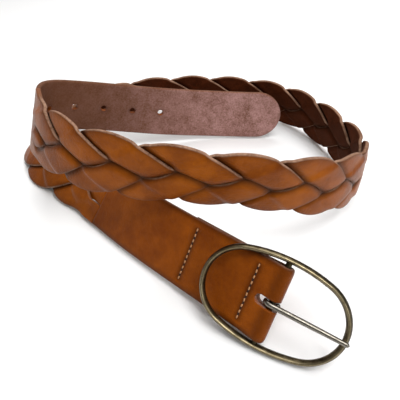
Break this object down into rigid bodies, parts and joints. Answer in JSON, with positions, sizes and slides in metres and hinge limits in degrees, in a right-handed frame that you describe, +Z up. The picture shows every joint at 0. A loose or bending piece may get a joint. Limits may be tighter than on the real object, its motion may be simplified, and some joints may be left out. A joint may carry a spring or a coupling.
{
  "type": "leather belt",
  "caption": "Wide braided leather belt with plain ends, an oval wire buckle and a punched tail, coiled and standing on edge.",
  "frame": {"origin": "middle of the belt's footprint, on the surface that it stands on", "axes": "+Z up; -Y towards the buckle; the coil runs clockwise, seen from above, from the buckle to the tip"},
  "size_m": [0.2918, 0.2923, 0.0937],
  "materials": {
    "strap_leather": "burnished cognac full-grain leather with a rough pinkish flesh side",
    "braid_leather": "burnished cognac full-grain leather, darker along its edges",
    "thread": "waxed linen thread, tan",
    "frame_brass": "aged dark brass, rubbed bright on its ridge",
    "prong_steel": "aged nickel-plated wire, warm grey"
  },
  "bodies": {
    "root": {"buckle_end_strap": "strap_leather", "strand_1": "braid_leather", "strand_2": "braid_leather", "strand_3": "braid_leather", "tail_strap": "strap_leather", "stitch_row_front": "thread", "stitch_row_rear": "thread"},
    "buckle": {"buckle_frame": "frame_brass", "centre_bar": "frame_brass"},
    "prong": {"prong": "prong_steel"}
  },
  "joints": [
    {"name": "buckle_pivot", "type": "hinge", "parent": "root", "child": "buckle", "pos_m": [0.05536, -0.11986, 0.02447], "axis": [0.3619, 0.4642, 0.8084], "range_deg": [0, 100]},
    {"name": "prong_pivot", "type": "hinge", "parent": "buckle", "child": "prong", "pos_m": [0.05536, -0.11986, 0.02447], "axis": [-0.3619, -0.4642, -0.8084], "range_deg": [0, 125]}
  ]
}
